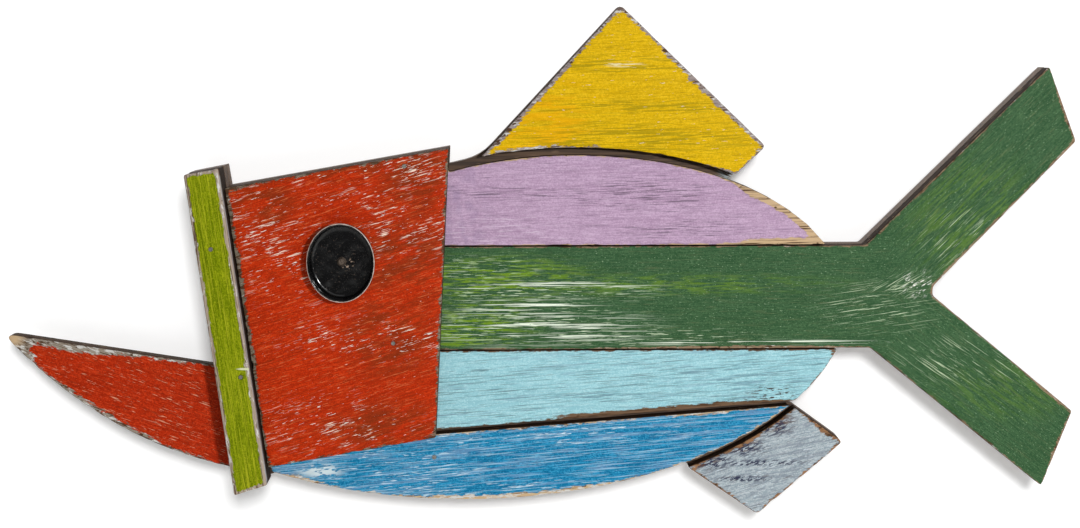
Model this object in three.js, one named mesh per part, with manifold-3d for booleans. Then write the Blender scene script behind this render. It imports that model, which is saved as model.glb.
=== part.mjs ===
// A painted wooden fish to hang on a wall, built up from boards.
//
// A dark stained back panel is cut to the outline of the fish. Thin painted boards are glued and
// screwed on it from behind, edge to edge or with a strip of the panel left bare between them.
// A thicker head panel and a standing gill slat are pinned on top of those, and a stamped oval cap
// nailed to the head is the eye. Two strap hangers with swinging rings are on the back.
//
// Millimetres, +Z up. The fish faces -Y, its head points to -X and the wall is on its +Y side.
// The origin is on the back panel's rear face, on the centreline of the middle board.

import * as THREE from 'three';
import { mergeVertices } from 'three/addons/utils/BufferGeometryUtils.js';
import Module from 'manifold-3d';

const wasm = await Module();
wasm.setup();

// Layers, from the wall to the front
const BACK_THICKNESS = 9;
const BOARD_THICKNESS = 9;
const HEAD_THICKNESS = 10;
const SLAT_THICKNESS = 18;

// Clearances
const GLUE_LINE = 0.3;        // between two layers, and between a fitting and the wood
const BUTT_GAP = 0.6;         // between two boards laid edge to edge
const HOLE_CLEARANCE = 0.3;   // around a nail or screw, on the radius
const DORSAL_GAP = 4.4;       // bare strip between the back and the dorsal fin
const BELLY_GAP = 2.8;        // bare strip between the lower body and the belly
const PELVIC_GAP = 3.4;       // bare strip between the belly and the pelvic fin

// The body: half an oval above the centreline and half a longer oval below it, which both end at
// the neck, on the edges of the middle board
const BACK_OVAL = { x: 20, rx: 164, rz: 87 };
const BELLY_X = -45;
const BELLY_DEPTH = -126;
const NECK_LENGTH = 23.5;     // of its upper edge
const NECK_UNDER = 14.8;      // from the belly to the neck's end
const MIDDLE_WIDTH = 63.5;
const SEAM_RISE = 50.2;       // from the belly's depth to the seam above its board, where x is 0
const SEAM_SLOPE = 0.072;
const OVAL_STEP = 12;         // longest chord along an oval edge

// The gill slat leans forward at the top, and stands past the head panel at both ends
const SLAT_X = -191.2;        // its middle line, where z is 0
const SLAT_TILT = Math.tan(THREE.MathUtils.degToRad(7.1));
const SLAT_WIDTH = 20.8;
const SLAT_OVER_TOP = 10.5;
const SLAT_OVER_BOTTOM = 11.8;
const SLAT_TOP_CUT = Math.tan(THREE.MathUtils.degToRad(11));
const SLAT_BOTTOM_CUT = Math.tan(THREE.MathUtils.degToRad(17));

// The head panel starts at the slat, near the belly's edge, and stands above the back
const HEAD_FRONT_TOP = 68.5;
const HEAD_IN_BELLY = 6;
const HEAD_REAR_TOP_X = -56;
const HEAD_REAR_BOTTOM_X = -65.3;
const HEAD_OVER_BACK = 14.9;
const HEAD_UNDERCUT = 18;     // rise of its lower edge from the slat to the rear

// Fins: root positions along X, and corners measured from the root in front
const DORSAL_ROOTS = [-40, 113];
const DORSAL_APEX = [86, 95];
const DORSAL_HEEL = [174.4, 11];
const PELVIC_ROOTS = [87, 153];
const PELVIC_TOE = [46.5, -33];
const PELVIC_HEEL = [99, 13];
const NECK_FILLET = 10;       // where the panel's edge sweeps up into the dorsal fin
const FIN_ROUNDING = 2.5;

// Tail: corners measured from the end of the neck, where the upper ones start on the middle
// board's upper edge, the lower ones on its lower edge and the crotch on its centreline
const UPPER_TIP = [108, 108];
const UPPER_HEEL = [126.5, 63];
const CROTCH = [42.6, 3.5];
const CROTCH_FLAT = 5.6;
const LOWER_HEEL = [132.4, -40.5];
const LOWER_TIP = [115.3, -88.5];
const LOWER_ROOT = 5;
const TAIL_ROUNDING = 1.5;

// Jaw: a horn that tapers to a round tip in front of the slat
const JAW_LENGTH = 128;
const JAW_TIP = -20;
const JAW_TIP_RADIUS = 9;
const JAW_TOP = -41;
const JAW_UNDER_HEAD = 2.8;   // how far its foot is below the head panel's
const JAW_BOW = [63.2, -69];  // pulls the underside down, measured from the tip
const JAW_FILLET = 5;

// Eye
const EYE = [-120.3, 24.6];
const EYE_WIDTH = 40.5;
const EYE_HEIGHT = 47.5;
const EYE_DEPTH = 9;
const EYE_SHEET = 1.1;
const EYE_LIP = 1.9;
const EYE_NAIL = { head: 2.9, headHeight: 1.5, shank: 1.1 };
const EYE_NAIL_BITE = 7;      // into the middle board

// Brads in the front, and how far each bites into what lies under the piece it holds
const BRAD = { head: 1.25, headHeight: 0.8, shank: 0.8 };
const BRAD_BITE = 6;
const SLAT_BRAD_UPPER = [-1.2, 33];     // from the slat's middle line, and height
const SLAT_BRAD_LOWER = [4.7, -3];      // from the slat's middle line, and from the jaw's top
const HEAD_BRAD_UPPER = [-26.5, -10.8]; // from the head's upper rear corner
const HEAD_BRAD_LOWER = [-90.5, 6.3];   // height from the middle board's lower edge
const BELLY_BRAD = { x: -67, share: 0.37 };     // share of the way from the seam to the edge

// Countersunk screws from behind, through the panel into each board. In the body each sits midway
// between its board's edges, at a share of the way from the head to the neck. In the fins and
// tail they are measured from the front root and from the end of the neck.
const SCREW = { head: 3.2, headHeight: 2, shank: 1.6 };
const SCREW_BITE = 6;
const UPPER_SCREW_SHARES = [0.13, 0.5, 0.85];
const MIDDLE_SCREW_SHARES = [-0.36, 0.16, 0.75];
const LOWER_SCREW_SHARES = [0.12, 0.76];
const BELLY_SCREW_SHARES = [-0.3, 0.25, 0.72];
const TAIL_SCREWS = [[15, 0], [88, 88], [96, -76]];
const DORSAL_SCREWS = [[60, 37], [118, 31]];
const PELVIC_SCREWS = [[31, -4], [63, 9]];
const JAW_SCREW_INSETS = [21, 15];      // from the jaw's top and from its foot

// Strap hangers: the ring swings on the pivot at the strap's upper end
const HANGER_SPREAD = 100;    // from the middle to each
const HANGER_INSET = 14;      // below the edge of the back
const STRAP_WIDTH = 12;
const STRAP_LENGTH = 37;
const STRAP_SHEET = 1.2;
const RING_WIRE = 1.2;
const RING_CLEARANCE = 0.4;
const RING_HALF_WIDTH = 8.5;
const RING_DROP = 16;
const HANGER_SCREW = { head: 3, headHeight: 1.6, shank: 1.5 };
const HANGER_SCREW_COVER = 1.3;         // wood left in front of its point
const HANGER_SCREW_DROPS = [22.5, 31.5];

// Felt bumpers keep the foot of the fish as far off the wall as its hangers
const BUMPERS = { head: -88, tail: 62 };
const BUMPER_RADIUS = 8;
const BUMPER_INSET = 16;      // from the belly's edge to the bumper's middle

// Places worked out from the sizes above. Y is the rear face of each layer.
const BOARD_Y = -(BACK_THICKNESS + GLUE_LINE);
const TOP_Y = BOARD_Y - BOARD_THICKNESS - GLUE_LINE;
const HEAD_FACE_Y = TOP_Y - HEAD_THICKNESS;
const MIDDLE_TOP = MIDDLE_WIDTH / 2;
const LOOP_RADIUS = RING_WIRE + RING_CLEARANCE + STRAP_SHEET;
const PIVOT_Y = GLUE_LINE + LOOP_RADIUS;
const HANGER_DEPTH = PIVOT_Y + LOOP_RADIUS;

// Paints and finishes
const FINISH = {
  red: { color: 0xb83410, roughness: 0.55, metalness: 0 },
  lime: { color: 0x778607, roughness: 0.55, metalness: 0 },
  yellow: { color: 0xd8b007, roughness: 0.55, metalness: 0 },
  lilac: { color: 0xb69ab4, roughness: 0.6, metalness: 0 },
  green: { color: 0x456a46, roughness: 0.6, metalness: 0 },
  aqua: { color: 0x9ac8d2, roughness: 0.6, metalness: 0 },
  blue: { color: 0x4690b6, roughness: 0.6, metalness: 0 },
  grey: { color: 0xa0acb2, roughness: 0.65, metalness: 0 },
  stain: { color: 0x4a3a2c, roughness: 0.75, metalness: 0 },
  black: { color: 0x1c1b1b, roughness: 0.35, metalness: 0.3 },
  steel: { color: 0x9b9ca0, roughness: 0.35, metalness: 1 },
  felt: { color: 0x3b3733, roughness: 0.95, metalness: 0 },
};

// --- Solids ---------------------------------------------------------------------------------

function toManifold(geometry) {
  const bare = geometry.clone();
  bare.deleteAttribute('normal');
  bare.deleteAttribute('uv');
  const merged = mergeVertices(bare);
  const vertProperties = new Float32Array(merged.attributes.position.array);
  const triVerts = new Uint32Array(merged.index.array);
  return new wasm.Manifold(new wasm.Mesh({ numProp: 3, vertProperties, triVerts }));
}

function toGeometry(manifold) {
  const mesh = manifold.getMesh();
  const geometry = new THREE.BufferGeometry();
  geometry.setAttribute('position', new THREE.BufferAttribute(mesh.vertProperties, 3));
  geometry.setIndex(new THREE.BufferAttribute(mesh.triVerts, 1));
  geometry.computeVertexNormals();
  return geometry;
}

function cut(geometry, cutters) {
  return toGeometry(cutters.reduce((solid, c) => solid.subtract(toManifold(c)), toManifold(geometry)));
}

function join(geometries) {
  return toGeometry(geometries.map(toManifold).reduce((solid, part) => solid.add(part)));
}

// An outline in X and Z, made solid from its rear face towards -Y.
function slab(outline, rearY, thickness) {
  const shape = new THREE.Shape(outline.map(([x, z]) => new THREE.Vector2(x, z)));
  const geometry = new THREE.ExtrudeGeometry(shape, { depth: thickness, bevelEnabled: false });
  return geometry.rotateX(Math.PI / 2).translate(0, rearY, 0);
}

// A turned profile of [radius, depth] pairs about Y. Depth counts towards the nail's point:
// direction 1 points it to +Y, and -1 to -Y.
function turned(profile, [x, z], y, direction, segments) {
  const points = profile.map(([radius, depth]) => new THREE.Vector2(radius, -depth));
  const geometry = new THREE.LatheGeometry(points.reverse(), segments);
  if (direction > 0) geometry.rotateX(Math.PI);
  return geometry.translate(x, y, z);
}

function cylinderX(radius, length, segments) {
  return new THREE.CylinderGeometry(radius, radius, length, segments).rotateZ(Math.PI / 2);
}

// --- Outlines -------------------------------------------------------------------------------

const add = ([ax, az], [bx, bz]) => [ax + bx, az + bz];

// The point at a distance from a on the way to b.
function along([ax, az], [bx, bz], distance) {
  const t = distance / Math.hypot(bx - ax, bz - az);
  return [ax + (bx - ax) * t, az + (bz - az) * t];
}

// Height of an oval's edge at x, with the oval grown outwards by an offset.
function ovalAt(oval, x, offset = 0) {
  const share = (x - oval.x) / (oval.rx + offset);
  return [x, (oval.rz + Math.sign(oval.rz) * offset) * Math.sqrt(1 - share * share)];
}

// How far right an oval's edge meets the height z.
function ovalX(oval, z) {
  return oval.x + oval.rx * Math.sqrt(1 - (z / oval.rz) ** 2);
}

// How far right an oval's edge meets the line z = height + slope * x.
function ovalMeetsLine(oval, height, slope) {
  const a = 1 / oval.rx ** 2 + (slope / oval.rz) ** 2;
  const b = (height * slope) / oval.rz ** 2 - oval.x / oval.rx ** 2;
  const c = (oval.x / oval.rx) ** 2 + (height / oval.rz) ** 2 - 1;
  return (Math.sqrt(b * b - a * c) - b) / a;
}

function ovalRun(oval, fromX, toX, offset = 0) {
  const steps = Math.ceil(Math.abs(toX - fromX) / OVAL_STEP);
  const at = (i) => ovalAt(oval, fromX + ((toX - fromX) * i) / steps, offset);
  return Array.from({ length: steps + 1 }, (_, i) => at(i));
}

// A corner from a to b at the given vertex, rounded off over a reach along both edges.
function softCorner(a, vertex, b, reach) {
  const from = new THREE.Vector2(...along(vertex, a, reach));
  const to = new THREE.Vector2(...along(vertex, b, reach));
  const curve = new THREE.QuadraticBezierCurve(from, new THREE.Vector2(...vertex), to);
  return curve.getPoints(4).map((p) => [p.x, p.y]);
}

// A chain of corners, all but the first and last rounded by the same reach.
function softChain(corners, reach) {
  const inner = corners.slice(1, -1);
  return inner.flatMap((corner, i) => softCorner(corners[i], corner, corners[i + 2], reach));
}

// --- Edges that several pieces share --------------------------------------------------------

const slatHalf = (SLAT_WIDTH / 2) * Math.hypot(1, SLAT_TILT);
const slatFront = (z) => [SLAT_X - slatHalf - z * SLAT_TILT, z];
const slatRear = (z) => [SLAT_X + slatHalf - z * SLAT_TILT, z];
const besideSlat = (z) => add(slatRear(z), [GLUE_LINE, 0]);
const slatMiddle = ([offset, z]) => [SLAT_X + offset - z * SLAT_TILT, z];

const neckX = ovalX(BACK_OVAL, MIDDLE_TOP);
const neckEnd = [neckX + NECK_LENGTH, 0];
const bellyX = neckEnd[0] - NECK_UNDER;
const BELLY_OVAL = {
  x: BELLY_X,
  rx: (bellyX - BELLY_X) / Math.sqrt(1 - (MIDDLE_TOP / BELLY_DEPTH) ** 2),
  rz: BELLY_DEPTH,
};
const bellyNose = ovalAt(BELLY_OVAL, slatRear(BELLY_DEPTH)[0]);

const headFoot = bellyNose[1] + HEAD_IN_BELLY;
const headRearTop = add(ovalAt(BACK_OVAL, HEAD_REAR_TOP_X), [0, HEAD_OVER_BACK]);
const headRearFoot = [HEAD_REAR_BOTTOM_X, headFoot + HEAD_UNDERCUT];
const jawFoot = headFoot - JAW_UNDER_HEAD;

function slatOutline() {
  const top = HEAD_FRONT_TOP + SLAT_OVER_TOP;
  const bottom = headFoot - SLAT_OVER_BOTTOM;
  const topRise = (SLAT_WIDTH / 2) * SLAT_TOP_CUT;
  const bottomRise = (SLAT_WIDTH / 2) * SLAT_BOTTOM_CUT;
  return [
    slatFront(top - topRise),
    slatRear(top + topRise),
    slatRear(bottom + bottomRise),
    slatFront(bottom - bottomRise),
  ];
}

// The head panel's rear edge, at height z.
function headRear(z) {
  const [footX, footZ] = headRearFoot;
  const t = (z - footZ) / (headRearTop[1] - footZ);
  return [footX + (headRearTop[0] - footX) * t, z];
}

function tailOutline() {
  const upper = add(neckEnd, [0, MIDDLE_TOP]);
  const lower = add(neckEnd, [0, -MIDDLE_TOP]);
  const crotch = add(neckEnd, CROTCH);
  return softChain([
    [neckX, MIDDLE_TOP],
    upper,
    add(upper, UPPER_TIP),
    add(upper, UPPER_HEEL),
    add(crotch, [0, CROTCH_FLAT / 2]),
    add(crotch, [0, -CROTCH_FLAT / 2]),
    add(lower, LOWER_HEEL),
    add(lower, LOWER_TIP),
    add(lower, [LOWER_ROOT, 0]),
    [bellyX, -MIDDLE_TOP],
  ], TAIL_ROUNDING);
}

const dorsalFront = ovalAt(BACK_OVAL, DORSAL_ROOTS[0]);
const dorsalRear = ovalAt(BACK_OVAL, DORSAL_ROOTS[1]);
const dorsalApex = add(dorsalFront, DORSAL_APEX);
const dorsalHeel = add(dorsalFront, DORSAL_HEEL);
const dorsalChain = [dorsalFront, dorsalApex, dorsalHeel, dorsalRear];

const pelvicFront = ovalAt(BELLY_OVAL, PELVIC_ROOTS[0]);
const pelvicRear = ovalAt(BELLY_OVAL, PELVIC_ROOTS[1]);
const pelvicHeel = add(pelvicFront, PELVIC_HEEL);
const pelvicToe = add(pelvicFront, PELVIC_TOE);
const pelvicChain = [pelvicRear, pelvicHeel, pelvicToe, pelvicFront];

const seamHeight = BELLY_DEPTH + SEAM_RISE;
const seam = (x) => [x, seamHeight + SEAM_SLOPE * x];
const bellySeam = (x) => add(seam(x), [0, -BELLY_GAP]);
const besideSlatOn = (line) => besideSlat(line(SLAT_X)[1]);

// --- Wooden pieces --------------------------------------------------------------------------

// The panel has the whole outline but the jaw. Its edge follows the back a little way off, then
// sweeps up into the dorsal fin.
function backPanelOutline() {
  const [slatTopFront, slatTopRear, slatBottomRear, slatBottomFront] = slatOutline();
  const [headEdgeX] = headRear(ovalAt(BACK_OVAL, HEAD_REAR_TOP_X, DORSAL_GAP)[1]);
  const sweepX = DORSAL_ROOTS[0] + DORSAL_GAP / 2;
  const sweep = ovalAt(BACK_OVAL, sweepX, DORSAL_GAP);
  const neckOfHead = ovalAt(BACK_OVAL, headEdgeX, DORSAL_GAP);
  return [
    slatTopFront,
    slatTopRear,
    besideSlat(HEAD_FRONT_TOP),
    headRearTop,
    neckOfHead,
    ...softCorner(neckOfHead, sweep, dorsalApex, NECK_FILLET),
    ...softChain([sweep, dorsalApex, dorsalHeel, dorsalRear], FIN_ROUNDING),
    ...ovalRun(BACK_OVAL, DORSAL_ROOTS[1], neckX),
    ...tailOutline(),
    ...ovalRun(BELLY_OVAL, bellyX, PELVIC_ROOTS[1]),
    ...softChain(pelvicChain, FIN_ROUNDING),
    ...ovalRun(BELLY_OVAL, PELVIC_ROOTS[0], bellyNose[0]),
    slatBottomRear,
    slatBottomFront,
  ];
}

// Under the head panel the upper body board follows the head's edges.
function upperBodyOutline() {
  const low = MIDDLE_TOP + BUTT_GAP;
  const [startX] = headRear(ovalAt(BACK_OVAL, HEAD_REAR_TOP_X)[1]);
  return [
    besideSlat(low),
    besideSlat(HEAD_FRONT_TOP),
    headRearTop,
    ...ovalRun(BACK_OVAL, startX, ovalX(BACK_OVAL, low)),
  ];
}

function tailBoardOutline() {
  return [besideSlat(MIDDLE_TOP), ...tailOutline(), besideSlat(-MIDDLE_TOP)];
}

function lowerBodyOutline() {
  const high = -MIDDLE_TOP - BUTT_GAP;
  const endX = ovalMeetsLine(BELLY_OVAL, seamHeight, SEAM_SLOPE);
  return [besideSlat(high), ...ovalRun(BELLY_OVAL, ovalX(BELLY_OVAL, high), endX), besideSlatOn(seam)];
}

function bellyOutline() {
  const tip = ovalMeetsLine(BELLY_OVAL, seamHeight - BELLY_GAP, SEAM_SLOPE);
  const [noseX] = besideSlat(bellyNose[1]);
  return [besideSlatOn(bellySeam), ...ovalRun(BELLY_OVAL, tip, noseX)];
}

function dorsalOutline() {
  const front = along(dorsalFront, dorsalApex, DORSAL_GAP);
  const rear = along(dorsalRear, dorsalHeel, DORSAL_GAP);
  return [
    ...softChain(dorsalChain, FIN_ROUNDING),
    ...ovalRun(BACK_OVAL, rear[0], front[0], DORSAL_GAP),
  ];
}

function pelvicOutline() {
  const front = along(pelvicFront, pelvicToe, PELVIC_GAP);
  const rear = along(pelvicRear, pelvicHeel, PELVIC_GAP);
  return [
    ...softChain(pelvicChain, FIN_ROUNDING),
    ...ovalRun(BELLY_OVAL, front[0], rear[0], PELVIC_GAP),
  ];
}

// The horn's underside is one bow from the round tip to the slat, and its upper edge is straight
// up to a small fillet.
function jawOutline() {
  const tip = [slatFront(JAW_TIP)[0] - JAW_LENGTH, JAW_TIP];
  const belly = add(tip, JAW_BOW);
  const shoulder = slatFront(JAW_TOP);
  const upper = along(shoulder, tip, JAW_FILLET);
  const nose = softCorner(shoulder, tip, belly, JAW_TIP_RADIUS);
  const last = nose[nose.length - 1];
  const chin = slatFront(jawFoot);
  const bow = new THREE.QuadraticBezierCurve(
    new THREE.Vector2(...last),
    new THREE.Vector2(...belly),
    new THREE.Vector2(...chin),
  );
  return [
    add(shoulder, [0, JAW_FILLET / 2]),
    upper,
    ...nose,
    ...bow.getPoints(12).slice(1).map((p) => [p.x, p.y]),
    slatRear(jawFoot),
    slatRear(JAW_TOP + JAW_FILLET / 2),
  ];
}

// Beside the jaw, a packer of the same thickness fills the room behind the slat.
function slatPackerOutline() {
  const [topFront, topRear] = slatOutline();
  const low = JAW_TOP + JAW_FILLET / 2 + BUTT_GAP;
  return [topFront, topRear, slatRear(low), slatFront(low)];
}

function headPanelOutline() {
  return [besideSlat(HEAD_FRONT_TOP), headRearTop, headRearFoot, besideSlat(headFoot)];
}

// --- Fasteners ------------------------------------------------------------------------------

// Screws in the body, midway between the two edges of their board.
function midway(shares, upperEdge, lowerEdge) {
  return shares.map((share) => {
    const x = HEAD_REAR_TOP_X + (neckX - HEAD_REAR_TOP_X) * share;
    return [x, (upperEdge(x)[1] + lowerEdge(x)[1]) / 2];
  });
}

const level = (z) => (x) => [x, z];
const backEdge = (x) => ovalAt(BACK_OVAL, x);
const bellyEdge = (x) => ovalAt(BELLY_OVAL, x);
const SCREWS = {
  upper_body: midway(UPPER_SCREW_SHARES, backEdge, level(MIDDLE_TOP)),
  tail: [
    ...midway(MIDDLE_SCREW_SHARES, level(MIDDLE_TOP), level(-MIDDLE_TOP)),
    ...TAIL_SCREWS.map((offset) => add(neckEnd, offset)),
  ],
  lower_body: midway(LOWER_SCREW_SHARES, level(-MIDDLE_TOP), seam),
  belly: midway(BELLY_SCREW_SHARES, bellySeam, bellyEdge),
  dorsal_fin: DORSAL_SCREWS.map((offset) => add(dorsalFront, offset)),
  pelvic_fin: PELVIC_SCREWS.map((offset) => add(pelvicFront, offset)),
  jaw: [JAW_TOP - JAW_SCREW_INSETS[0], jawFoot + JAW_SCREW_INSETS[1]].map((z) => slatMiddle([0, z])),
};

const [lowerSlatX, belowJawTop] = SLAT_BRAD_LOWER;
const SLAT_BRADS = [SLAT_BRAD_UPPER, [lowerSlatX, JAW_TOP + belowJawTop]];
const HEAD_BRADS = [add(headRearTop, HEAD_BRAD_UPPER), add([0, -MIDDLE_TOP], HEAD_BRAD_LOWER)];
const bellyDepthAt = (x) => bellyEdge(x)[1] - bellySeam(x)[1];
const BELLY_BRADS = [
  add(bellySeam(BELLY_BRAD.x), [0, bellyDepthAt(BELLY_BRAD.x) * BELLY_BRAD.share]),
];

const PIN_SEGMENTS = 12;
const HEAD_LAND = 0.3;        // straight rim of a sunk head

// A round head that stands on the surface, and a pointed shank.
function nailProfile({ head, headHeight, shank, length }, grow = 0) {
  return [
    [0, -headHeight],
    [head * 0.6, -headHeight],
    [head, -headHeight * 0.4],
    [head, 0],
    [shank + grow, 0],
    [shank + grow, length - 2 * shank + grow],
    [0, length + grow],
  ];
}

// A flat head sunk into the surface, over a shank that ends in a point.
function sunkProfile({ head, headHeight, shank, length }, grow = 0) {
  return [
    [0, -grow],
    [head + grow, -grow],
    [head + grow, HEAD_LAND + grow],
    [shank + grow, headHeight + grow],
    [shank + grow, length - 2 * shank + 2 * grow],
    [0, length + 2 * grow],
  ];
}

function screwAt(place, grow) {
  const length = BACK_THICKNESS + SCREW_BITE;
  return turned(sunkProfile({ ...SCREW, length }, grow), place, grow ? 0 : -GLUE_LINE, -1, PIN_SEGMENTS);
}

function bradAt(place, rearY, thickness, grow) {
  const length = thickness + GLUE_LINE + BRAD_BITE;
  return turned(sunkProfile({ ...BRAD, length }, grow), place, rearY - thickness, 1, PIN_SEGMENTS);
}

const slatBradAt = (place, grow) => bradAt(slatMiddle(place), TOP_Y, SLAT_THICKNESS, grow);
const headBradAt = (place, grow) => bradAt(place, TOP_Y, HEAD_THICKNESS, grow);
const bellyBradAt = (place, grow) => bradAt(place, BOARD_Y, BOARD_THICKNESS, grow);

function eyeNailAt(y, grow) {
  const length = TOP_Y + GLUE_LINE - y + EYE_NAIL_BITE;
  return turned(nailProfile({ ...EYE_NAIL, length }, grow), EYE, y, 1, PIN_SEGMENTS);
}

// --- Eye ------------------------------------------------------------------------------------

// A shallow dish turned round, then drawn out to an oval. Its rim is rolled over, and the nail
// goes through its floor.
function eyeCap() {
  const rearY = HEAD_FACE_Y - GLUE_LINE;
  const radius = EYE_HEIGHT / 2;
  const inner = radius - EYE_LIP;
  const hole = EYE_NAIL.shank + HOLE_CLEARANCE;
  const profile = [
    [hole, 0],
    [radius - EYE_LIP / 2, 0],
    [radius - EYE_LIP / 2, EYE_DEPTH - EYE_LIP],
    [radius, EYE_DEPTH - EYE_LIP * 0.7],
    [radius - EYE_LIP * 0.2, EYE_DEPTH - EYE_LIP * 0.1],
    [radius - EYE_LIP * 0.6, EYE_DEPTH],
    [inner, EYE_DEPTH - EYE_LIP * 0.4],
    [inner, EYE_SHEET * 2],
    [inner - EYE_SHEET, EYE_SHEET],
    [hole, EYE_SHEET],
    [hole, 0],
  ];
  const points = profile.map(([r, h]) => new THREE.Vector2(r, -h));
  const geometry = new THREE.LatheGeometry(points.reverse(), 36);
  return geometry.scale(EYE_WIDTH / EYE_HEIGHT, 1, 1).translate(EYE[0], rearY, EYE[1]);
}

// --- Hangers --------------------------------------------------------------------------------

const hangerZ = backEdge(HANGER_SPREAD)[1] - HANGER_INSET;
const HANGERS = { head: [-HANGER_SPREAD, hangerZ], tail: [HANGER_SPREAD, hangerZ] };

function hangerStrap([x, z]) {
  const plate = new THREE.BoxGeometry(STRAP_WIDTH, STRAP_SHEET, STRAP_LENGTH);
  plate.translate(x, GLUE_LINE + STRAP_SHEET / 2, z - STRAP_LENGTH / 2);
  const loop = cylinderX(LOOP_RADIUS, STRAP_WIDTH, 20).translate(x, PIVOT_Y, z);
  const eye = cylinderX(RING_WIRE + RING_CLEARANCE, STRAP_WIDTH + 2, 20).translate(x, PIVOT_Y, z);
  const holes = HANGER_SCREW_DROPS.map((drop) => {
    const hole = new THREE.CylinderGeometry(1, 1, 4 * STRAP_SHEET, PIN_SEGMENTS);
    const radius = HANGER_SCREW.shank + HOLE_CLEARANCE;
    return hole.scale(radius, 1, radius).translate(x, GLUE_LINE, z - drop);
  });
  return cut(join([plate, loop]), [eye, ...holes]);
}

// A bar in the strap's loop, two legs and a round bow below them.
function hangerRing([x, z]) {
  const legLength = RING_DROP - RING_HALF_WIDTH;
  const bar = cylinderX(RING_WIRE, 2 * RING_HALF_WIDTH, PIN_SEGMENTS);
  const bow = new THREE.TorusGeometry(RING_HALF_WIDTH, RING_WIRE, PIN_SEGMENTS, 24);
  bow.rotateX(Math.PI / 2).translate(0, 0, -legLength);
  const above = new THREE.BoxGeometry(4 * RING_HALF_WIDTH, 4 * RING_WIRE, 4 * RING_HALF_WIDTH);
  above.translate(0, 0, 2 * RING_HALF_WIDTH - legLength);
  const sides = [-RING_HALF_WIDTH, RING_HALF_WIDTH].flatMap((side) => {
    const leg = new THREE.CylinderGeometry(RING_WIRE, RING_WIRE, legLength, PIN_SEGMENTS);
    leg.rotateX(Math.PI / 2).translate(side, 0, -legLength / 2);
    const corner = new THREE.SphereGeometry(RING_WIRE, PIN_SEGMENTS, 8).translate(side, 0, 0);
    return [leg, corner];
  });
  return join([cut(bow, [above]), bar, ...sides]).translate(x, PIVOT_Y, z);
}

const hangerScrewPlace = ([x, z], drop) => [x, z - drop];

function hangerScrewAt(place, grow) {
  const headY = 2 * GLUE_LINE + STRAP_SHEET;
  const length = headY + BACK_THICKNESS - HANGER_SCREW_COVER;
  return turned(nailProfile({ ...HANGER_SCREW, length }, grow), place, headY, -1, PIN_SEGMENTS);
}

function bumper(x) {
  const disc = new THREE.CylinderGeometry(BUMPER_RADIUS, BUMPER_RADIUS, HANGER_DEPTH - GLUE_LINE, 24);
  return disc.translate(x, (HANGER_DEPTH + GLUE_LINE) / 2, bellyEdge(x)[1] + BUMPER_INSET);
}

// --- The fish -------------------------------------------------------------------------------

const fish = new THREE.Group();

function addPiece(name, geometry, finish) {
  const mesh = new THREE.Mesh(geometry, new THREE.MeshStandardMaterial(FINISH[finish]));
  mesh.name = name;
  fish.add(mesh);
}

const screwHoles = (board) => SCREWS[board].map((place) => screwAt(place, HOLE_CLEARANCE));
const slatBradHoles = SLAT_BRADS.map((place) => slatBradAt(place, HOLE_CLEARANCE));
const headBradHoles = HEAD_BRADS.map((place) => headBradAt(place, HOLE_CLEARANCE));
const bellyBradHoles = BELLY_BRADS.map((place) => bellyBradAt(place, HOLE_CLEARANCE));
const eyeNailY = HEAD_FACE_Y - 2 * GLUE_LINE - EYE_SHEET;
const eyeNailHole = eyeNailAt(eyeNailY, HOLE_CLEARANCE);
const hangerScrewHoles = Object.values(HANGERS).flatMap((hanger) =>
  HANGER_SCREW_DROPS.map((drop) => hangerScrewAt(hangerScrewPlace(hanger, drop), HOLE_CLEARANCE)));

function addBoard(name, outline, finish, holes) {
  addPiece(name, cut(slab(outline, BOARD_Y, BOARD_THICKNESS), holes), finish);
}

const panelHoles = [...Object.keys(SCREWS).flatMap(screwHoles), ...hangerScrewHoles, ...bellyBradHoles];
addPiece('back_panel', cut(slab(backPanelOutline(), 0, BACK_THICKNESS), panelHoles), 'stain');
addBoard('upper_body_board', upperBodyOutline(), 'lilac', [...screwHoles('upper_body'), ...headBradHoles]);
addBoard('tail_board', tailBoardOutline(), 'green',
  [...screwHoles('tail'), ...headBradHoles, eyeNailHole]);
addBoard('lower_body_board', lowerBodyOutline(), 'aqua', screwHoles('lower_body'));
addBoard('belly_board', bellyOutline(), 'blue', [...screwHoles('belly'), ...bellyBradHoles]);
addBoard('dorsal_fin', dorsalOutline(), 'yellow', screwHoles('dorsal_fin'));
addBoard('pelvic_fin', pelvicOutline(), 'grey', screwHoles('pelvic_fin'));
addBoard('jaw_board', jawOutline(), 'red', [...screwHoles('jaw'), ...slatBradHoles]);
addBoard('slat_packer', slatPackerOutline(), 'stain', slatBradHoles);
addPiece('head_panel',
  cut(slab(headPanelOutline(), TOP_Y, HEAD_THICKNESS), [...headBradHoles, eyeNailHole]), 'red');
addPiece('gill_slat', cut(slab(slatOutline(), TOP_Y, SLAT_THICKNESS), slatBradHoles), 'lime');

addPiece('eye_cap', eyeCap(), 'black');
addPiece('eye_nail', eyeNailAt(eyeNailY), 'steel');
SLAT_BRADS.forEach((place, i) => addPiece(`slat_brad_${i + 1}`, slatBradAt(place), 'steel'));
HEAD_BRADS.forEach((place, i) => addPiece(`head_brad_${i + 1}`, headBradAt(place), 'steel'));
BELLY_BRADS.forEach((place, i) => addPiece(`belly_brad_${i + 1}`, bellyBradAt(place), 'steel'));

for (const [board, places] of Object.entries(SCREWS)) {
  places.forEach((place, i) => addPiece(`${board}_screw_${i + 1}`, screwAt(place), 'steel'));
}

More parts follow.
